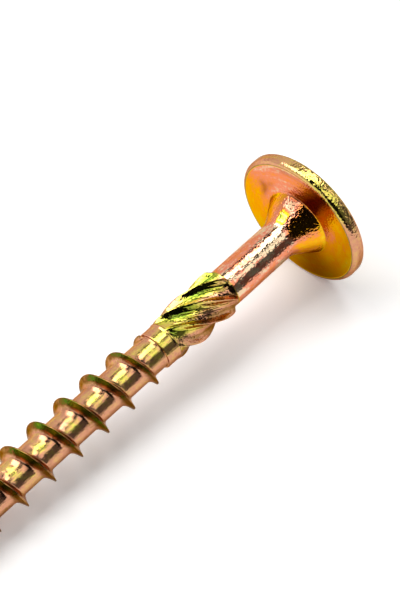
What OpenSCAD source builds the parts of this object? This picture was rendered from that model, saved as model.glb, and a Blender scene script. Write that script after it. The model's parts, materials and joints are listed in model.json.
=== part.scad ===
// Structural timber screw with a wide washer head, lying on a level surface.
// The head is at +X and the point at -X. The axis dips towards the point, because
// the screw rests on the rim of its head and on one crest of its thread.

/* [Head] */
// Outer diameter of the washer head
head_d = 21.6; // [18:0.1:26]
// Thickness of the rim
rim_t = 2; // [1.5:0.1:3]
// Rounding of the two edges of the rim
rim_round = 0.35; // [0.2:0.05:0.6]
// Slope of the raised top, in degrees
top_slope = 14; // [6:1:20]
// Diameter of the flat land around the drive recess
top_flat_d = 12; // [9:0.5:15]

/* [Drive recess] */
// Diameter over the lobes
recess_d = 6.75; // [6:0.05:7.5]
// Diameter between the hollows that separate the lobes
recess_waist_d = 4.85; // [4.2:0.05:5.4]
// Radius of each hollow between two lobes
recess_hollow_r = 1.3; // [1.1:0.05:1.5]
// Depth of the recess below the flat land
recess_depth = 4; // [2.5:0.1:4.5]

/* [Neck and shank] */
// Diameter of the conical neck where it meets the head
neck_d = 10.5; // [8:0.1:13]
// Length of the conical neck
neck_len = 3.9; // [2:0.1:6]
// Diameter of the smooth shank and of the collar before the thread
shank_d = 5.8; // [5.6:0.05:6.5]
// Length of the smooth shank between the neck and the reamer
shank_len = 11.4; // [6:0.1:24]

/* [Reamer] */
// Diameter over the ribs
rib_d = 7.1; // [6.3:0.05:7.5]
// Diameter at the bottom of the grooves between the ribs
groove_d = 5; // [4.4:0.05:5.5]
// Number of ribs around the screw
rib_count = 6; // [4:1:10]
// Length along the axis in which a rib makes one full turn
rib_lead = 32; // [20:1:60]
// Length of the ribbed stretch
reamer_len = 12.3; // [8:0.1:18]
// Length in which the ribs rise out of the smooth shank
rib_rise = 1.3; // [0.6:0.1:2]
// Length in which the ribs fade out towards the thread
rib_fade = 3; // [2:0.1:6]
// Length of the plain collar between the reamer and the thread
collar_len = 1.9; // [0.8:0.1:4]

/* [Thread] */
// Length of the screw from the underside of the head to the point
screw_len = 80; // [60:1:140]
// Outer diameter of the thread
thread_d = 8; // [7.2:0.1:9]
// Diameter of the core between two turns
core_d = 5.1; // [4.6:0.05:5.4]
// Distance from one turn to the next
thread_pitch = 4.86; // [4:0.02:6]
// Width of the flat on the crest
crest_w = 0.15; // [0.1:0.05:0.4]
// Angle of the flank on the head's side, from square to the axis
head_flank = 15; // [10:1:25]
// Angle of the flank on the point's side, from square to the axis
point_flank = 25; // [15:1:30]
// Length of the hollow blend between a flank and the core
root_blend = 0.35; // [0.2:0.05:0.5]
// Number of turns in which the thread rises to its full height
run_out_turns = 1.6; // [0.8:0.1:3]
// Angle about the axis at which the thread leaves the collar, from the upper side
thread_start_angle = 36; // [0:1:359]
// Length of the tapered point
point_len = 9.5; // [6:0.1:14]

/* [Hidden] */
$fn = 64;

head_r = head_d / 2;
shank_r = shank_d / 2;
core_r = core_d / 2;
tooth_full = (thread_d - core_d) / 2;

// Places along the axis, from the underside of the head towards the point
reamer_s = neck_len + shank_len;
collar_s = reamer_s + reamer_len;
thread_s = collar_s + collar_len;

// The sloping top leaves the rim's upper rounding at a tangent
slope_r = head_r - rim_round + rim_round * sin(top_slope);
slope_h = rim_t - rim_round + rim_round * cos(top_slope);
head_h = slope_h + (slope_r - top_flat_d / 2) * tan(top_slope);

// The recess has a hollow between each two of its lobes
lobe_count = 6;

// The ribbed and the threaded stretch each start inside the round stretch beside them
seat_depth = 0.6;
seat_gap = 0.1;

// The sides of a rib are hollow: a power of 1 would make them straight
rib_power = 1.8;
rib_start_angle = -20;

// Mesh of the reamer: points on each rib, and the distance between rings
rib_points = 8;
ring_step = 0.8;

// Mesh of the thread: columns around the axis, and the six rows of one turn,
// each with its share of the tooth's height
columns = 40;
row_height = [0, 0.2, 1, 1, 0.2, 0];
turn_rows = len(row_height);
run_out_power = 0.3;
tooth_least = 0.04;
end_snap = 0.06;
thread_turns = (screw_len - thread_s) / thread_pitch;
spare_turns = 2;
first_turn = -spare_turns;
last_turn = ceil(thread_turns) + spare_turns;
rows = (last_turn - first_turn) * turn_rows;

// Share of the reamer's full section at a place along the axis
function rib_share(s) =
    let (rise = (s - reamer_s) / rib_rise,
         fade = (collar_s - s) / rib_fade)
    max(0, min(1, rise, fade <= 0 ? 0 : sqrt(fade)));

// Radius of the ribbed stretch, where phase runs from groove (0) to rib (0.5) to groove (1)
function rib_radius(s, phase) =
    let (seat_r = shank_r - seat_gap,
         full_r = groove_d / 2 + (rib_d - groove_d) / 2 * pow(1 - abs(2 * phase - 1), rib_power))
    seat_r + (full_r - seat_r) * rib_share(s);

// Thread: turns are counted from the end of the collar
function crest_s(turn) = thread_s + thread_pitch * turn;
function core_radius(s) = core_r * max(0, min(1, (screw_len - s) / point_len));
function run_out(turn) = turn <= 0 ? 0 : pow(min(1, turn / run_out_turns), run_out_power);
function tooth_height(turn) =
    max(tooth_least, tooth_full * run_out(turn) * min(1, (screw_len - crest_s(turn)) / point_len));

// Distance of a row of the tooth from the middle of its crest
function row_offset(row, h) =
    let (head_w = h * tan(head_flank),
         point_w = h * tan(point_flank))
    row == 0 ? -crest_w / 2 - head_w - root_blend :
    row == 1 ? -crest_w / 2 - head_w * (1 - row_height[1]) :
    row == 2 ? -crest_w / 2 :
    row == 3 ? crest_w / 2 :
    row == 4 ? crest_w / 2 + point_w * (1 - row_height[4]) :
    crest_w / 2 + point_w + root_blend;

function row_turn(column, row) =
    first_turn + floor(row / turn_rows) + column / columns - thread_start_angle / 360;
function row_s(column, row) =
    let (turn = row_turn(column, row))
    crest_s(turn) + row_offset(row % turn_rows, tooth_height(turn));
function row_radius(column, row) =
    core_radius(row_s(column, row))
    + row_height[row % turn_rows] * tooth_height(row_turn(column, row));

// Rows before the start ring or past the point collapse onto them
start_s = thread_s - seat_depth;
point_index = columns * (rows + 1);
function point_of(column, row) =
    let (s = row_s(column, row))
    s < start_s + end_snap ? columns * rows + column :
    s > screw_len - end_snap ? point_index :
    column * rows + row;

// The tilt at which the rim and a crest on the underside touch the same level surface
function rest_tilt(turn) =
    let (s = crest_s(turn) + crest_w / 2,
         rise = head_r - rim_round - core_radius(s) - tooth_height(turn),
         run = s + rim_round)
    atan(rise / run) + asin(rim_round / norm([rise, run]));
lowest_turn = 0.5 - thread_start_angle / 360;
tilt = min([for (turn = [lowest_turn : thread_turns]) rest_tilt(turn)]);
axis_h = rim_round + (head_r - rim_round) * cos(tilt) - rim_round * sin(tilt);
axis_x = ((screw_len - head_h) * cos(tilt) - top_flat_d / 2 * sin(tilt)) / 2;

// Points and faces of a closed tube made of rings with the same number of points
module tube(rings) {
    count = len(rings[0]);
    last = len(rings) - 1;
    sides = [for (k = [0 : last - 1], i = [0 : count - 1])
        let (a = k * count + i, b = k * count + (i + 1) % count)
        each [[a, b + count, b], [a, a + count, b + count]]];
    polyhedron([for (ring = rings) each ring],
        concat(sides, [[for (i = [0 : count - 1]) i],
            [for (i = [count - 1 : -1 : 0]) last * count + i]]));
}

// The six-lobe recess in the top of the head
module drive_recess() {
    translate([0, 0, -head_h])
        linear_extrude(recess_depth * 2, center = true)
            difference() {
                circle(d = recess_d);
                for (hollow = [0 : lobe_count - 1])
                    rotate(360 / lobe_count * hollow)
                        translate([recess_waist_d / 2 + recess_hollow_r, 0])
                            circle(recess_hollow_r);
            }
}

// Half section of the head, the conical neck and the smooth shank
module turned_section() {
    translate([0, -rim_t])
        square([head_r - rim_round, rim_t]);
    translate([0, rim_round - rim_t])
        square([head_r, rim_t - 2 * rim_round]);
    for (s = [-rim_round, rim_round - rim_t])
        translate([head_r - rim_round, s])
            circle(rim_round);
    polygon([[0, rim_round - rim_t], [head_r - rim_round, rim_round - rim_t],
        [slope_r, -slope_h], [top_flat_d / 2, -head_h], [0, -head_h]]);
    polygon([[0, -rim_round], [neck_d / 2, -rim_round], [neck_d / 2, 0],
        [shank_r, neck_len], [shank_r, reamer_s], [0, reamer_s]]);
}

module turned_blank() {
    difference() {
        rotate_extrude()
            turned_section();
        drive_recess();
    }
}

module reamer() {
    ring_count = ceil((reamer_len - rib_rise) / ring_step);
    stations = concat(
        [reamer_s - seat_depth, reamer_s, reamer_s + rib_rise / 2],
        [for (k = [0 : ring_count]) reamer_s + rib_rise + (reamer_len - rib_rise) * k / ring_count],
        [collar_s + seat_depth]);
    tube([for (s = stations)
        [for (i = [0 : rib_count * rib_points - 1])
            let (r = rib_radius(s, (i % rib_points) / rib_points),
                 angle = rib_start_angle + 360 * ((i - rib_points / 2) / (rib_count * rib_points)
                     + (s - reamer_s) / rib_lead))
            [r * cos(angle), r * sin(angle), s]]]);
}

module collar() {
    translate([0, 0, collar_s])
        cylinder(h = collar_len, r = shank_r);
}

module thread() {
    body = [for (column = [0 : columns - 1], row = [0 : rows - 1])
        let (r = row_radius(column, row), angle = 360 * column / columns)
        [r * cos(angle), r * sin(angle), row_s(column, row)]];
    ring = [for (column = [0 : columns - 1])
        let (angle = 360 * column / columns)
        [core_r * cos(angle), core_r * sin(angle), start_s]];
    sides = [for (column = [0 : columns - 1], row = [0 : rows - 1])
        let (wrap = column == columns - 1,
             next = wrap ? 0 : column + 1,
             next_row = wrap ? row + turn_rows : row,
             a = point_of(column, row),
             b = point_of(next, next_row),
             c = point_of(next, next_row + 1),
             d = point_of(column, row + 1))
        each [[a, c, b], [a, d, c]]];
    polyhedron(concat(body, ring, [[0, 0, screw_len]]),
        concat([for (f = sides) if (f[0] != f[1] && f[1] != f[2] && f[0] != f[2]) f],
            [[for (column = [0 : columns - 1]) columns * rows + column]]));
}

module screw() {
    color([0.85, 0.64, 0.34])
        translate([axis_x, 0, axis_h])
            rotate([0, -90 - tilt, 0])
                union() {
                    turned_blank();
                    reamer();
                    collar();
                    thread();
                }
}

screw();
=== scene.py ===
"""Looks of a washer head timber screw that lies on a pale table.

The screw is one piece of steel: the head is forged on the end of a wire, the reamer and
the thread are rolled into the shank, and the whole is plated with zinc and passivated.
"""

import json
import math

import bpy
import numpy as np
from mathutils import Matrix, Vector


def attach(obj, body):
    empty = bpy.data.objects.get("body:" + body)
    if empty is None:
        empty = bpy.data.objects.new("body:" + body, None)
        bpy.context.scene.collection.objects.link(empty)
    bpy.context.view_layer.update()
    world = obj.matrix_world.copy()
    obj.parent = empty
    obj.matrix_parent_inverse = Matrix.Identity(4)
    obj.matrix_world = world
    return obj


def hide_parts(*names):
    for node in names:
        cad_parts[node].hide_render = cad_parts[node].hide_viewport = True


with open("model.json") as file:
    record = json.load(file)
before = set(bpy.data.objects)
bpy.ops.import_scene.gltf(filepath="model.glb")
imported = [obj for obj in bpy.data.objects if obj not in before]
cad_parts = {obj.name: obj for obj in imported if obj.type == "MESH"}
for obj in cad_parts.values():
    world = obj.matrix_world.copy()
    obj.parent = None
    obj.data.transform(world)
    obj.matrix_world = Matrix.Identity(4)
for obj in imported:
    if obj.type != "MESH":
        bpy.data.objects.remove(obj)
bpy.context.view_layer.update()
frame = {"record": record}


# The forged head: a wide washer with a sloping top and a six-lobe recess for the driver.
# It is struck from the wire in one die, so all its edges are a little rounded.
# The mesh of the whole screw is one closed skin of rings, which starts in the recess.
COLUMNS = 216
MARK_REACH = 2.5
column_angle = np.linspace(0, 2 * math.pi, COLUMNS, endpoint=False)
rings = []


def ring_of(s, radius, film, stain_and_shade=0.0, pitting=1.0, satin=0.0, twist=0.0, round_marks=None):
    """Points of one ring at s mm from the underside of the head, where the tip is at +s.

    Each has its place, the place that the grain follows, how thick the film is there, how dark
    its stain and painted shade are, and how pitted and how dull it is. The grain runs along the
    axis and turns with the ring, or, where round_marks tells the distance along the head's section,
    around the axis.
    """
    values = (radius, s, film, stain_and_shade, pitting, satin)
    radius, s, *finish = (np.broadcast_to(value, COLUMNS) for value in values)
    turned = column_angle + twist
    grain = np.c_[radius * np.cos(column_angle), radius * np.sin(column_angle), s]
    if round_marks is not None:
        along = np.broadcast_to(round_marks, COLUMNS)
        grain = np.c_[along, MARK_REACH * np.cos(column_angle), MARK_REACH * np.sin(column_angle)]
    return np.c_[radius * np.cos(turned), radius * np.sin(turned), s, grain, *finish]


def add_ring(*values, **marks):
    rings.append(ring_of(*values, **marks))


def near(angle, middle, spread):
    """1 where the angle is at the middle, falling to 0 around it, with both in degrees."""
    off = (np.degrees(angle) - middle + 180) % 360 - 180
    return np.exp(-(off / spread) ** 2)


# Sizes of the head in mm
HEAD_R = 10.79
RIM_T = 2.0
RIM_ROUND = 0.35
UNDER_ROUND = 0.75
TOP_SLOPE = math.radians(14)
TOP_FLAT_R = 6.0

# Its finish. The film turns from pale at 0 through salmon, gold, green and rose to green at 1,
# and stains and painted shade darken it. Angles are about the axis, from the upper side
TOP_FILM = 0.20
RIM_FILM = 0.77 + 0.12 * near(column_angle, -15, 45)
RIM_PITTING = 1.6
RIM_SATIN = 0.06
RIM_EDGE_FILM = 0.12 * near(column_angle, -12, 45)
# The rounding from the top into the rim is darker over the upper side, most towards the top
RIM_EDGE_DARKENING = 0.9 * near(column_angle, -12, 45)
UNDERSIDE_FILM = 0.21 - 0.155 * near(column_angle, 30, 62)
# Painted shade on the bearing face: a dark streak from the neck out to the rim, about 26 degrees
# off the upper side, which widens towards the neck. It stands for the shadowed table that the face
# reflects
UNDERSIDE_PAINTED_SHADE = 0.97 * near(column_angle, -26, 15)
NECK_SIDE_PAINTED_SHADE = 0.5 * near(column_angle, -22, 26)
NECK_SIDE_FILM = -0.13 * near(column_angle, -72, 15)
# Painted shade on the lower side of the bearing face, where it reflects the table in the head's
# shadow
LOWER_PAINTED_SHADE = 0.80 * near(column_angle, -158, 48)

slope_r = HEAD_R - RIM_ROUND + RIM_ROUND * math.sin(TOP_SLOPE)
slope_h = RIM_T - RIM_ROUND + RIM_ROUND * math.cos(TOP_SLOPE)
head_h = slope_h + (slope_r - TOP_FLAT_R) * math.tan(TOP_SLOPE)

RECESS_R = 3.375
RECESS_WAIST_R = 2.425
RECESS_HOLLOW_R = 1.3
RECESS_DEPTH = 4.0
RECESS_FLOOR_DROP = 0.3
RECESS_CHAMFER = 0.22
RECESS_CORNER = 0.2
LOBES = 6

# Outline of the recess: a circle with a hollow bitten out between each two lobes
lobe_step = 2 * math.pi / LOBES
off_hollow = (column_angle + lobe_step / 2) % lobe_step - lobe_step / 2
hollow_centre = RECESS_WAIST_R + RECESS_HOLLOW_R
reach = RECESS_HOLLOW_R ** 2 - (hollow_centre * np.sin(off_hollow)) ** 2
bitten = hollow_centre * np.cos(off_hollow) - np.sqrt(np.maximum(reach, 0))
recess_outline = np.where(reach > 0, np.minimum(bitten, RECESS_R), RECESS_R)

recess_floor = RECESS_DEPTH - head_h
for share in (0.02, 0.3, 0.6, 0.85):
    add_ring(recess_floor - RECESS_FLOOR_DROP * share, recess_outline * share, TOP_FILM)
for turn in (0, 30, 60, 90):
    lift = RECESS_CORNER * (1 - math.cos(math.radians(turn)))
    inset = RECESS_CORNER * (1 - math.sin(math.radians(turn)))
    add_ring(recess_floor - RECESS_FLOOR_DROP - lift, recess_outline - inset, TOP_FILM)
for share in (0.3, 0.6, 0.9):
    wall_top = RECESS_CHAMFER - head_h
    wall_foot = recess_floor - RECESS_FLOOR_DROP - RECESS_CORNER
    add_ring(wall_foot + (wall_top - wall_foot) * share, recess_outline, TOP_FILM)
for share in (0, 0.15, 0.85, 1):
    add_ring(RECESS_CHAMFER * (1 - share) - head_h, recess_outline + RECESS_CHAMFER * share,
             TOP_FILM)

# The flat land around the recess, then the sloping top out to the rim
LAND_EDGE = 0.15
TOP_FILM_POWER = 4
for share in (0.1, 0.35, 0.65, 1):
    land_in = recess_outline + RECESS_CHAMFER
    land_r = land_in + (TOP_FLAT_R - LAND_EDGE - land_in) * share
    add_ring(-head_h, land_r, TOP_FILM, round_marks=-land_r)
for share in (0.03, 0.06, 0.35, 0.65, 0.97, 1):
    top_r = TOP_FLAT_R + (slope_r - TOP_FLAT_R) * share
    film = TOP_FILM + (RIM_FILM - TOP_FILM) * share ** TOP_FILM_POWER
    add_ring(-head_h + (head_h - slope_h) * share, top_r, film, round_marks=-top_r)

# The rim, with both its edges rounded. The underside's film starts with the end of its rounding
ROUND_STEPS = 8
EDGE_FILM_POWER = 16
for k in range(1, ROUND_STEPS + 1):
    lean = TOP_SLOPE + (math.pi / 2 - TOP_SLOPE) * k / ROUND_STEPS
    s = RIM_ROUND - RIM_T - RIM_ROUND * math.cos(lean)
    edge = 1 - k / ROUND_STEPS
    add_ring(s, HEAD_R - RIM_ROUND + RIM_ROUND * math.sin(lean),
             RIM_FILM + RIM_EDGE_FILM * edge, RIM_EDGE_DARKENING * edge,
             RIM_PITTING, RIM_SATIN, round_marks=s - HEAD_R)
for share in (0.3, 0.7):
    s = RIM_ROUND - RIM_T + (RIM_T - RIM_ROUND - UNDER_ROUND) * share
    add_ring(s, HEAD_R, RIM_FILM, pitting=RIM_PITTING, satin=RIM_SATIN, round_marks=s - HEAD_R)
for k in range(ROUND_STEPS + 1):
    lean = math.pi / 2 * k / ROUND_STEPS
    s = UNDER_ROUND * (math.sin(lean) - 1)
    add_ring(s, HEAD_R - UNDER_ROUND * (1 - math.cos(lean)),
             RIM_FILM + (UNDERSIDE_FILM - RIM_FILM) * (k / ROUND_STEPS) ** EDGE_FILM_POWER,
             pitting=RIM_PITTING + (1 - RIM_PITTING) * k / ROUND_STEPS, round_marks=s - HEAD_R)

# The bearing face under the head, with a few smudges. Each has its darkness, its angle and
# spread in degrees, and its radius and spread in mm
NECK_R = 5.25
NECK_FILLET = 0.18
SMUDGES = (
    (0.42, 60, 6, 7.4, 0.7),
    (0.45, 68, 9, 6.7, 0.5),
    (0.25, 48, 7, 6.9, 0.4),
    (0.30, 12, 14, 9.6, 0.5),
)
FACE_RINGS = 16
for share in np.linspace(0.03, 1, FACE_RINGS):
    face_r = HEAD_R - UNDER_ROUND + (NECK_R + NECK_FILLET - HEAD_R + UNDER_ROUND) * share
    smudge = sum(depth * near(column_angle, angle, wide) * math.exp(-((face_r - r) / deep) ** 2)
                 for depth, angle, wide, r, deep in SMUDGES)
    # The painted shade of the streak and of the lower side is added to the smudges here
    stain_and_shade = UNDERSIDE_PAINTED_SHADE + NECK_SIDE_PAINTED_SHADE * share ** 2 + LOWER_PAINTED_SHADE + smudge
    add_ring(0, face_r, UNDERSIDE_FILM + NECK_SIDE_FILM * share ** 2, np.minimum(stain_and_shade, 1),
             round_marks=-UNDER_ROUND - face_r)


# The conical neck and the smooth shank, drawn down from the head in the same blow.
# The neck countersinks itself into the timber, and the shank lets it be pulled tight.
NECK_LEN = 3.9
NECK_FILM = (0.18 - 0.20 * near(column_angle, 2, 22) - 0.10 * near(column_angle, -65, 13)
             - 0.04 * near(column_angle, 60, 25))
# Painted dark reflection: the neck's upper side is darkened next to the head, fading out towards
# the shank
NECK_PAINTED_DARK_REFLECTION = 0.85 * near(column_angle, 2, 17)
NECK_FOOT_FILM = 0.27 - 0.20 * near(column_angle, -5, 42)
FOOT_FILM_POWER = 6
NECK_PATCH_FILM = 0.41 * np.clip(2.6 * near(column_angle, 5, 13) - 0.8, 0, 1)
PATCH_RISE = 3
PATCH_DELAY = 1.4
PATCH_FALL = 2
NECK_PITTING = 1.5
NECK_BLEND = 0.7
SHANK_R = 2.9
SHANK_LEN = 11.4
SHANK_STEP = 0.6
SHANK_FILM = 0.055 - 0.065 * near(column_angle, -24, 25)

neck_slope = math.atan2(NECK_R - SHANK_R, NECK_LEN)
for share in (0.3, 0.6, 0.85, 1):
    add_ring(NECK_FILLET * share ** 2, NECK_R + NECK_FILLET * (1 - share) - NECK_FILLET / 3 * share,
             UNDERSIDE_FILM + (NECK_FOOT_FILM - UNDERSIDE_FILM) * share, NECK_PAINTED_DARK_REFLECTION)
neck_foot = rings[-1][0, 0]
for share in np.linspace(0.1, 1, 9):
    s = NECK_FILLET + (NECK_LEN - NECK_BLEND - NECK_FILLET) * share
    film = NECK_FILM + (NECK_FOOT_FILM - NECK_FILM) * (1 - share) ** FOOT_FILM_POWER
    patch = min(1, max(0, PATCH_RISE * share - PATCH_DELAY))
    add_ring(s, neck_foot + (SHANK_R + NECK_BLEND * math.tan(neck_slope) - neck_foot) * share,
             film + NECK_PATCH_FILM * patch, NECK_PAINTED_DARK_REFLECTION * (1 - share ** 2), NECK_PITTING)
for share in (0.2, 0.4, 0.6, 0.8, 1):
    patch = max(0, 1 - PATCH_FALL * share)
    add_ring(NECK_LEN - NECK_BLEND + 2 * NECK_BLEND * share,
             SHANK_R + NECK_BLEND * math.tan(neck_slope) * (1 - share) ** 2,
             NECK_FILM + (SHANK_FILM - NECK_FILM) * share + NECK_PATCH_FILM * patch,
             pitting=NECK_PITTING + (1 - NECK_PITTING) * share)
reamer_s = NECK_LEN + SHANK_LEN
for s in np.arange(NECK_LEN + NECK_BLEND + SHANK_STEP, reamer_s, SHANK_STEP):
    add_ring(s, SHANK_R, SHANK_FILM)


# The reamer: six ribs rolled into the shank along a slow right-hand twist.
# They widen the hole behind the thread, so they stand a little proud of the shank.
# A rib's section is its radius at a share of the way from its crest to the next groove's middle.
RIB_SECTION = ((0, 3.54), (0.05, 3.50), (0.30, 2.82), (0.38, 2.71),
               (0.50, 2.63), (0.75, 2.54), (1, 2.5))
RIBS = 6
RIB_LEAD = 32.0
RIB_START = math.radians(-20)
REAMER_LEN = 11.9
RIB_RISE_START = 0.25
RIB_RISE = 0.85
RIB_FADE = 3.0
RING_STEP = 0.2
ROLL_MARK = 0.02
ROLL_SEED = 8
ROLL_WAVE = 0.5
ROLL_SHIFT = 40
RIB_FILM = 0.74
RIB_UPPER_FILM = 0.19
RIB_UPPER_ANGLE = 40
RIB_UPPER_TURN = -55
RIB_UPPER_SPREAD = 60
RIB_SIDE_FILM = 0.07

rolled = np.random.default_rng(ROLL_SEED)
rib_phase = ((column_angle - RIB_START) * RIBS / (2 * math.pi) + 0.5) % 1
off_crest = np.abs(2 * rib_phase - 1)
roll_marks = rolled.normal(0, ROLL_MARK, COLUMNS)
rib_section = np.interp(off_crest, *zip(*RIB_SECTION))
rib_side = RIB_SIDE_FILM * np.sin(2 * math.pi * rib_phase)
collar_s = reamer_s + REAMER_LEN
for s in np.arange(reamer_s, collar_s + RING_STEP / 2, RING_STEP):
    rise = min(1, max(0, (s - reamer_s - RIB_RISE_START) / RIB_RISE))
    fade = math.sqrt(max(0, min(1, (collar_s - s) / RIB_FADE)))
    share = min(rise * rise * (3 - 2 * rise), fade)
    twist = 2 * math.pi * (s - reamer_s) / RIB_LEAD
    wander = roll_marks * np.cos(ROLL_WAVE * s + ROLL_SHIFT * roll_marks / ROLL_MARK)
    proud = np.minimum(rib_section + wander, RIB_SECTION[0][1])
    upper_middle = RIB_UPPER_ANGLE + RIB_UPPER_TURN * (s - reamer_s) / REAMER_LEN
    upper_share = near(column_angle + twist, upper_middle, RIB_UPPER_SPREAD)
    film = rib_side + (RIB_FILM + RIB_UPPER_FILM * upper_share if share > 0 else SHANK_FILM)
    add_ring(s, SHANK_R + (proud - SHANK_R) * share, film, twist=twist)
full_twist = 2 * math.pi * REAMER_LEN / RIB_LEAD


# The collar and the coarse thread: a sharp right-hand tooth rolled up out of a thinner core.
# It runs out against the collar, and it tapers with the core into a plain point.
COLLAR_LEN = 2.3
COLLAR_RIDGE = 0.10
RIDGE_W = 0.16
COLLAR_RINGS = 28
COLLAR_GAP = 0.08
COLLAR_FILM = 0.77 + 0.11 * near(column_angle + full_twist, -20, 32)
CORE_R = 2.55
THREAD_PITTING = 0.4
THREAD_SATIN = 0.12
CORE_FILM = 0.78
GAP_FILM = 0.11 * near(column_angle + full_twist, -15, 40)
THREAD_R = 3.99
PITCH = 4.86
CREST_W = 0.15
CREST_ROUND = 0.03
HEAD_FLANK = math.tan(math.radians(15))
POINT_FLANK = math.tan(math.radians(25))
ROOT_BLEND = 0.35
RUN_OUT_TURNS = 1.6
RUN_OUT_POWER = 0.3
START_TURNS = 0.06
TOOTH_LEAST = 0.02
START_ANGLE = math.radians(36)
SCREW_LEN = 80.0
POINT_LEN = 9.5
STEP_ROUND = 0.12
FLANK_FILM = 0.67 - 0.16 * near(column_angle + full_twist, -10, 56)
BACK_FLANK_FILM = 0.68
CREST_FILM = 0.64

thread_finish = {"pitting": THREAD_PITTING, "satin": THREAD_SATIN, "twist": full_twist}
thread_s = collar_s + COLLAR_LEN
for s in np.linspace(collar_s + COLLAR_GAP, thread_s - STEP_ROUND, COLLAR_RINGS):
    ridge = COLLAR_RIDGE * math.exp(-((s - collar_s - RIDGE_W) / RIDGE_W) ** 2)
    add_ring(s, SHANK_R + ridge, COLLAR_FILM, **thread_finish)
for lean in (30, 60, 90):
    turn = math.radians(lean)
    add_ring(thread_s - STEP_ROUND * (1 - math.sin(turn)),
             SHANK_R - STEP_ROUND * (1 - math.cos(turn)), COLLAR_FILM, **thread_finish)
for lean in (30, 60, 90):
    turn = math.radians(lean)
    add_ring(thread_s + STEP_ROUND * (1 - math.cos(turn)),
             CORE_R + STEP_ROUND * (1 - math.sin(turn)), CORE_FILM, **thread_finish)
start_s = rings[-1][0, 2]

# Steps up the hollow blend at the root of a flank, and across the core between two turns
BLEND_STEPS = (0, 0.3, 0.6, 0.85, 1)
BLEND_LIMIT = 0.85
FLANK_FILM_POWER = 4
CORE_STEPS = (0.25, 0.5, 0.75)


def tooth_height(turn):
    """Height of the tooth above the core, which rises from the collar and falls to the point."""
    out = np.clip(turn / RUN_OUT_TURNS, 0, 1) ** RUN_OUT_POWER
    start = np.clip(turn / START_TURNS, 0, 1)
    taper = np.clip((SCREW_LEN - thread_s - PITCH * turn) / POINT_LEN, 0, 1)
    rise = start * start * (3 - 2 * start)
    return np.maximum((THREAD_R - CORE_R) * out * rise * taper, TOOTH_LEAST)


def core_radius(s):
    return CORE_R * np.clip((SCREW_LEN - s) / POINT_LEN, 0, 1)


def flank_root(turn, side, slope):
    """Place along the axis where the root of one flank ends, with its middle at the crest."""
    return thread_s + PITCH * turn + side * (CREST_W / 2 + tooth_height(turn) * slope + ROOT_BLEND)


def tooth_rows(turn):
    """(s, height above the core, film) of each row of the turn, for columns at that turn.

    The rows run from the root on the head's side over the crest and along the core.
    """
    crest = thread_s + PITCH * turn
    h = tooth_height(turn)
    rows = []
    for side, slope, film in ((-1, HEAD_FLANK, BACK_FLANK_FILM), (1, POINT_FLANK, FLANK_FILM)):
        blend_top = np.minimum(BLEND_LIMIT, ROOT_BLEND / (h * slope))
        foot = flank_root(turn, side, slope)
        top = crest + side * (CREST_W / 2 + h * slope * (1 - blend_top))
        flank = [(foot + (top - foot) * t, h * blend_top * t * t,
                  CORE_FILM + (film - CORE_FILM) * t ** FLANK_FILM_POWER)
                 for t in BLEND_STEPS]
        crest_edge = crest + side * (CREST_W / 2 + CREST_ROUND * slope)
        flank.append((crest_edge, h - CREST_ROUND / 2, film))
        flank.append((crest + side * (CREST_W / 2 - CREST_ROUND), h, CREST_FILM))
        rows += flank if side < 0 else flank[::-1]
    gap_start = flank_root(turn, 1, POINT_FLANK)
    gap_end = flank_root(turn + 1, -1, HEAD_FLANK)
    rows += [(gap_start + (gap_end - gap_start) * t, 0 * h,
              CORE_FILM + GAP_FILM * math.sin(math.pi * t) ** 2)
             for t in CORE_STEPS]
    return rows


# A few turns more than the thread has, at both its ends
TURNS_BEFORE = 3
TURNS_AFTER = 2
turn_of_column = (column_angle + full_twist - START_ANGLE) / (2 * math.pi)
first_turn = -TURNS_BEFORE
last_turn = math.ceil((SCREW_LEN - thread_s) / PITCH) + TURNS_AFTER
thread_rows = [ring_of(s, core_radius(s) + height, film, **thread_finish)
               for lap in range(first_turn, last_turn)
               for s, height, film in tooth_rows(lap + turn_of_column)]

# One list of points: the rings, the middle of the recess, the rows of the thread, and the tip
ring_count = len(rings)
row_count = len(thread_rows)
turn_rows = row_count // (last_turn - first_turn)
middle_index = ring_count * COLUMNS
row_start = middle_index + 1
tip_index = row_start + row_count * COLUMNS
middle = np.array([[0, 0, recess_floor, 0, 0, recess_floor, TOP_FILM, 0, 1, 0]])
tip = np.array([[0, 0, SCREW_LEN, 0, 0, SCREW_LEN, CREST_FILM, 0, THREAD_PITTING, THREAD_SATIN]])
points = np.vstack(rings + [middle] + thread_rows + [tip])

# Rows that lie before the start of the thread end on its first ring, and those past the
# point end on the tip
END_SNAP = 0.05
row_s = np.array(thread_rows)[:, :, 2]
index = row_start + np.arange(row_count * COLUMNS).reshape(row_count, COLUMNS)
last_ring = (ring_count - 1) * COLUMNS + np.arange(COLUMNS)
before_start = np.logical_or.accumulate((row_s < start_s + END_SNAP)[::-1])[::-1]
past_point = np.logical_or.accumulate(row_s > SCREW_LEN - END_SNAP)
index = np.where(before_start, last_ring[None, :], index)
index = np.where(past_point, tip_index, index)

faces = [[middle_index, (i + 1) % COLUMNS, i][::-1] for i in range(COLUMNS)]
for k in range(ring_count - 1):
    for i in range(COLUMNS):
        j = (i + 1) % COLUMNS
        a, b = k * COLUMNS, (k + 1) * COLUMNS
        faces.append([a + i, a + j, b + j, b + i])
for row in range(row_count - 1):
    for i in range(COLUMNS):
        wrap = i == COLUMNS - 1
        beside = row + turn_rows if wrap else row
        j = 0 if wrap else i + 1
        if beside + 1 >= row_count:
            continue
        corners = [index[row, i], index[beside, j], index[beside + 1, j], index[row + 1, i]]
        face = [c for n, c in enumerate(corners) if c != corners[n - 1]]
        if len(set(face)) == len(face) and len(face) > 2:
            faces.append([int(c) for c in face])

used = np.zeros(len(points), bool)
used[[c for face in faces for c in face]] = True
new_index = np.cumsum(used) - 1
faces = [[int(new_index[c]) for c in face] for face in faces]
points = points[used]

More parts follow.
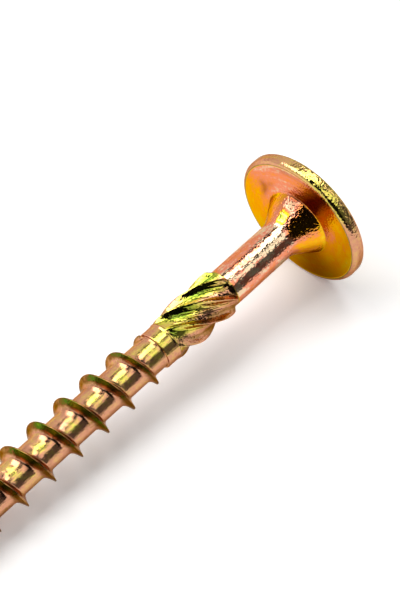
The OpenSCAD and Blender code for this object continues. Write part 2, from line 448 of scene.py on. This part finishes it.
# The screw lies where its CAD solid lies: the bearing face gives the axis and its foot
MM = 0.001
SHARP_ANGLE = math.radians(38)
mounts = {mount["name"]: mount for mount in frame["record"]["mounts"]}
bearing = mounts["bearing_face"]
to_tip = Vector(bearing["axis"]).normalized()
across = Vector((0, 1, 0))
upper = across.cross(to_tip)
foot = Vector((bearing["pos_m"][0], 0, bearing["pos_m"][2]))
lay = np.array([upper, across, to_tip])
world_places = points[:, :3] @ lay * MM + np.array(foot)

screw_mesh = bpy.data.meshes.new("screw_skin")
screw_mesh.from_pydata(world_places.tolist(), [], faces)
screw_mesh.update()
screw_mesh.polygons.foreach_set("use_smooth", [True] * len(screw_mesh.polygons))
screw_mesh.set_sharp_from_angle(angle=SHARP_ANGLE)
grain_layer = screw_mesh.attributes.new("grain", "FLOAT_VECTOR", "POINT")
grain_layer.data.foreach_set("vector", points[:, 3:6].astype(np.float32).ravel())
for place, name in enumerate(("film", "stain_and_shade", "pitting", "satin")):
    layer = screw_mesh.attributes.new(name, "FLOAT", "POINT")
    layer.data.foreach_set("value", points[:, 6 + place].astype(np.float32))
screw = bpy.data.objects.new("timber_screw", screw_mesh)
bpy.context.scene.collection.objects.link(screw)


# The finish: bright zinc under a yellow passivation, a film so thin that its colour turns
# with its thickness, from salmon through gold to green. It lies in clouds and streaks.
zinc = bpy.data.materials.new("yellow_zinc")
zinc.use_nodes = True
nodes, links = zinc.node_tree.nodes, zinc.node_tree.links
nodes.clear()


def node(kind, place, **settings):
    made = nodes.new(kind)
    made.location = place
    for name, value in settings.items():
        setattr(made, name, value)
    return made


def noise(place, scale, stretch, detail, roughness):
    """Noise in millimetres of the screw, stretched along its grain, or even where stretch is 1."""
    spread = node("ShaderNodeMapping", (place[0] - 180, place[1]))
    even = stretch == 1
    spread.inputs["Scale"].default_value = (1 / MM, 1 / MM, 1 / MM) if even else (1, 1, stretch)
    source = own_place.outputs["Object"] if even else grain_place.outputs["Vector"]
    links.new(source, spread.inputs["Vector"])
    made = node("ShaderNodeTexNoise", place)
    made.inputs["Scale"].default_value = scale
    made.inputs["Detail"].default_value = detail
    made.inputs["Roughness"].default_value = roughness
    links.new(spread.outputs["Vector"], made.inputs["Vector"])
    return made.outputs["Fac"]


def sum_of(place, value, noise_out, amount):
    """value plus amount times the noise about its middle."""
    made = node("ShaderNodeMath", place, operation="MULTIPLY_ADD")
    made.inputs[1].default_value = amount
    links.new(noise_out, made.inputs[0])
    shift = node("ShaderNodeMath", (place[0] + 160, place[1]), operation="ADD")
    links.new(made.outputs[0], shift.inputs[0])
    made.inputs[2].default_value = -amount / 2
    links.new(value, shift.inputs[1])
    return shift.outputs[0]


grain_place = node("ShaderNodeAttribute", (-1500, 0), attribute_name="grain")
own_place = node("ShaderNodeTexCoord", (-1500, -300))
film_thickness = node("ShaderNodeAttribute", (-1500, 300), attribute_name="film")
clouds = noise((-1100, 500), scale=0.25, stretch=0.8, detail=2, roughness=0.5)
patches = noise((-1100, 250), scale=0.9, stretch=0.35, detail=3, roughness=0.6)
streaks = noise((-1100, 0), scale=5.0, stretch=0.12, detail=2, roughness=0.6)
pits = noise((-1100, -250), scale=2.6, stretch=1, detail=1, roughness=0.5)

thickness = sum_of((-800, 500), film_thickness.outputs["Fac"], clouds, amount=0.20)
thickness = sum_of((-450, 400), thickness, patches, amount=0.25)
thickness = sum_of((-150, 300), thickness, streaks, amount=0.10)
thickness = sum_of((-150, 100), thickness, pits, amount=0.12)

# Colour of the film at each thickness
FILM_COLOURS = (
    (0.00, (0.79, 0.590, 0.370)),
    (0.05, (0.80, 0.270, 0.170)),
    (0.11, (0.82, 0.270, 0.080)),
    (0.18, (0.84, 0.350, 0.010)),
    (0.27, (0.80, 0.500, 0.015)),
    (0.35, (0.76, 0.690, 0.200)),
    (0.42, (0.46, 0.470, 0.060)),
    (0.48, (0.16, 0.250, 0.015)),
    (0.54, (0.06, 0.140, 0.010)),
    (0.62, (0.22, 0.090, 0.030)),
    (0.69, (0.38, 0.200, 0.070)),
    (0.77, (0.61, 0.275, 0.170)),
    (0.84, (0.66, 0.400, 0.140)),
    (0.90, (0.72, 0.610, 0.110)),
    (0.95, (0.45, 0.460, 0.050)),
    (1.00, (0.20, 0.280, 0.030)),
)
colours = node("ShaderNodeValToRGB", (200, 300))
ramp = colours.color_ramp
while len(ramp.elements) < len(FILM_COLOURS):
    ramp.elements.new(0.5)
for element, (place, colour) in zip(ramp.elements, FILM_COLOURS):
    element.position = place
    element.color = (*colour, 1)
links.new(thickness, colours.inputs["Fac"])

# Stains, painted shade and painted dark reflections all multiply the film colour towards this dark
# brown
STAIN_AND_SHADE_COLOUR = (0.10, 0.06, 0.03, 1)
stained_and_shaded = node("ShaderNodeMix", (480, 300), data_type="RGBA", blend_type="MULTIPLY")
stained_and_shaded.inputs["B"].default_value = STAIN_AND_SHADE_COLOUR
stain_and_shade_amount = node("ShaderNodeAttribute", (200, 550), attribute_name="stain_and_shade")
links.new(stain_and_shade_amount.outputs["Fac"], stained_and_shaded.inputs["Factor"])
links.new(colours.outputs["Color"], stained_and_shaded.inputs["A"])

GLOSS_RANGE = (0.03, 0.10)
gloss = node("ShaderNodeMapRange", (200, 0))
gloss.inputs["To Min"].default_value = GLOSS_RANGE[0]
gloss.inputs["To Max"].default_value = GLOSS_RANGE[1]
links.new(patches, gloss.inputs["Value"])
satin = node("ShaderNodeAttribute", (200, 100), attribute_name="satin")
dullness = node("ShaderNodeMath", (450, 50), operation="ADD")
links.new(gloss.outputs["Result"], dullness.inputs[0])
links.new(satin.outputs["Fac"], dullness.inputs[1])

STREAK_DEPTH = 0.02 * MM
PIT_DEPTH = 0.05 * MM
streak_bump = node("ShaderNodeBump", (200, -250))
streak_bump.inputs["Distance"].default_value = STREAK_DEPTH
links.new(streaks, streak_bump.inputs["Height"])
pit_bump = node("ShaderNodeBump", (450, -250))
pit_bump.inputs["Distance"].default_value = PIT_DEPTH
pitting = node("ShaderNodeAttribute", (200, -500), attribute_name="pitting")
links.new(pitting.outputs["Fac"], pit_bump.inputs["Strength"])
links.new(pits, pit_bump.inputs["Height"])
links.new(streak_bump.outputs["Normal"], pit_bump.inputs["Normal"])

GRAZING_TINT = (0.60, 0.43, 0.30, 1)
steel = node("ShaderNodeBsdfPrincipled", (700, 200))
steel.inputs["Metallic"].default_value = 1.0
steel.inputs["Specular Tint"].default_value = GRAZING_TINT
links.new(stained_and_shaded.outputs["Result"], steel.inputs["Base Color"])
links.new(dullness.outputs[0], steel.inputs["Roughness"])
links.new(pit_bump.outputs["Normal"], steel.inputs["Normal"])
surface = node("ShaderNodeOutputMaterial", (1000, 200))
links.new(steel.outputs["BSDF"], surface.inputs["Surface"])
screw_mesh.materials.append(zinc)

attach(screw, "root")
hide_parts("screw")


# The table: a wide sheet of white matt paper under the screw, which keeps its soft shadow.
# It is lifted a little towards white where the camera or the metal sees it.
TABLE_HALF = 3.0
TABLE_DROP = 0.02 * MM
PAPER_WHITE = (0.95, 0.94, 0.93, 1)
PAPER_ROUGHNESS = 0.9
PAPER_LIFT = 0.17
table_corners = ((-1, -1), (1, -1), (1, 1), (-1, 1))
table_mesh = bpy.data.meshes.new("table_sheet")
table_mesh.from_pydata(
    [(x * TABLE_HALF, y * TABLE_HALF, -TABLE_DROP) for x, y in table_corners],
    [], [(0, 1, 2, 3)])
table = bpy.data.objects.new("table_sheet", table_mesh)
bpy.context.scene.collection.objects.link(table)
paper = bpy.data.materials.new("white_paper")
paper.use_nodes = True
paper_surface = paper.node_tree.nodes["Principled BSDF"]
paper_surface.inputs["Base Color"].default_value = PAPER_WHITE
paper_surface.inputs["Roughness"].default_value = PAPER_ROUGHNESS
paper_surface.inputs["Emission Color"].default_value = (1, 1, 1, 1)


def seen_rays(tree):
    """1 for rays from the camera, and for those that metal or glass sends on, and else 0."""
    light_path = tree.nodes.new("ShaderNodeLightPath")
    seen = light_path.outputs["Is Camera Ray"]
    for kind in ("Is Glossy Ray", "Is Transmission Ray"):
        either = tree.nodes.new("ShaderNodeMath")
        either.operation = "MAXIMUM"
        tree.links.new(seen, either.inputs[0])
        tree.links.new(light_path.outputs[kind], either.inputs[1])
        seen = either.outputs[0]
    return seen


paper_lift = paper.node_tree.nodes.new("ShaderNodeMath")
paper_lift.operation = "MULTIPLY"
paper_lift.inputs[1].default_value = PAPER_LIFT
paper.node_tree.links.new(seen_rays(paper.node_tree), paper_lift.inputs[0])
paper.node_tree.links.new(paper_lift.outputs[0], paper_surface.inputs["Emission Strength"])
table_mesh.materials.append(paper)


# The studio: three softboxes overhead, and white all around. Dark cards stand where the room
# is dark: one over the softboxes, and two on the camera's side. They show in the metal alone.
LIGHT_HEIGHT = 0.6


def softbox(name, middle, size, turn, radiance):
    """A flat light above the table, its middle and size in units of its height."""
    lamp = bpy.data.lights.new(name, "AREA")
    lamp.shape = "RECTANGLE"
    lamp.size = size[0] * LIGHT_HEIGHT
    lamp.size_y = size[1] * LIGHT_HEIGHT
    lamp.energy = radiance * math.pi * lamp.size * lamp.size_y
    made = bpy.data.objects.new(name, lamp)
    made.location = (middle[0] * LIGHT_HEIGHT, middle[1] * LIGHT_HEIGHT, LIGHT_HEIGHT)
    made.rotation_euler = (0, 0, math.radians(turn))
    bpy.context.scene.collection.objects.link(made)


softbox("key_softbox", (0.40, 0.15), (0.5, 0.50), 0, 4.0)
softbox("long_softbox", (-0.42, 0.74), (1.1, 1.15), 0, 4.2)
softbox("side_softbox", (0.16, -0.58), (1.18, 0.56), -13, 1.5)


def dark_card(name, grey, corners, cards):
    """A card that only shows in the metal."""
    card_paint = bpy.data.materials.new(name)
    card_paint.use_nodes = True
    card_surface = card_paint.node_tree.nodes["Principled BSDF"]
    card_surface.inputs["Base Color"].default_value = (grey, grey, grey, 1)
    card_surface.inputs["Specular IOR Level"].default_value = 0.0
    mesh = bpy.data.meshes.new(name)
    mesh.from_pydata(corners, [], cards)
    mesh.materials.append(card_paint)
    made = bpy.data.objects.new(name, mesh)
    bpy.context.scene.collection.objects.link(made)
    made.visible_camera = False
    made.visible_diffuse = False
    made.visible_shadow = False


CARD_BLACK = 0.01
CARD_GREY = 0.12
ceiling = LIGHT_HEIGHT * 1.03
ceiling_corners = ((-1.7, -1.3), (1.3, -1.3), (1.3, 0.58), (-1.7, 1.15))
dark_card("ceiling_card", CARD_BLACK,
          [(x * ceiling, y * ceiling, ceiling) for x, y in ceiling_corners], [(0, 1, 2, 3)])

# The standing cards are bent around the screw, between two angles and up to a rise in degrees
CARD_R = 0.2
CARD_STEPS = 12
for name, grey, start, end, top in (("camera_card", CARD_BLACK, -165, -95, 46),
                                    ("right_card", CARD_GREY, -95, -45, 40)):
    angles = np.radians(np.linspace(start, end, CARD_STEPS + 1))
    corners = [(CARD_R * math.cos(a), CARD_R * math.sin(a), CARD_R * math.tan(math.radians(rise)))
               for rise in (0, top) for a in angles]
    dark_card(name, grey, corners,
              [(i, i + 1, CARD_STEPS + i + 2, CARD_STEPS + i + 1) for i in range(CARD_STEPS)])

# White where the camera or the metal sees it, and a weak fill for all else
FILL_LEVEL = 0.13
WHITE_LEVEL = 0.95
world = bpy.data.worlds.new("studio")
world.use_nodes = True
bpy.context.scene.world = world
sky_nodes, sky_links = world.node_tree.nodes, world.node_tree.links
level = sky_nodes.new("ShaderNodeMapRange")
level.inputs["To Min"].default_value = FILL_LEVEL
level.inputs["To Max"].default_value = WHITE_LEVEL
sky_links.new(seen_rays(world.node_tree), level.inputs["Value"])
background = sky_nodes["Background"]
background.inputs["Color"].default_value = (1, 1, 1, 1)
sky_links.new(level.outputs["Result"], background.inputs["Strength"])


# The camera: a long lens that looks down at about 50 degrees, past the point towards the head.
# Its place is in mm.
LENS = 90
CAMERA_PLACE = (-78.83, -91.27, 168.31)
CLIP_START = 0.01
camera_data = bpy.data.cameras.new("camera")
camera_data.lens = LENS
camera_data.clip_start = CLIP_START
camera = bpy.data.objects.new("camera", camera_data)
view_right = Vector((0.68740, -0.72627, 0))
view_up = Vector((0.55497, 0.52527, 0.64505))
view_back = view_right.cross(view_up)
turn = Matrix((view_right, view_up, view_back)).transposed().to_4x4()
camera.matrix_world = Matrix.Translation(Vector(CAMERA_PLACE) * MM) @ turn
bpy.context.scene.collection.objects.link(camera)
bpy.context.scene.camera = camera
bpy.context.scene.view_settings.view_transform = "Standard"
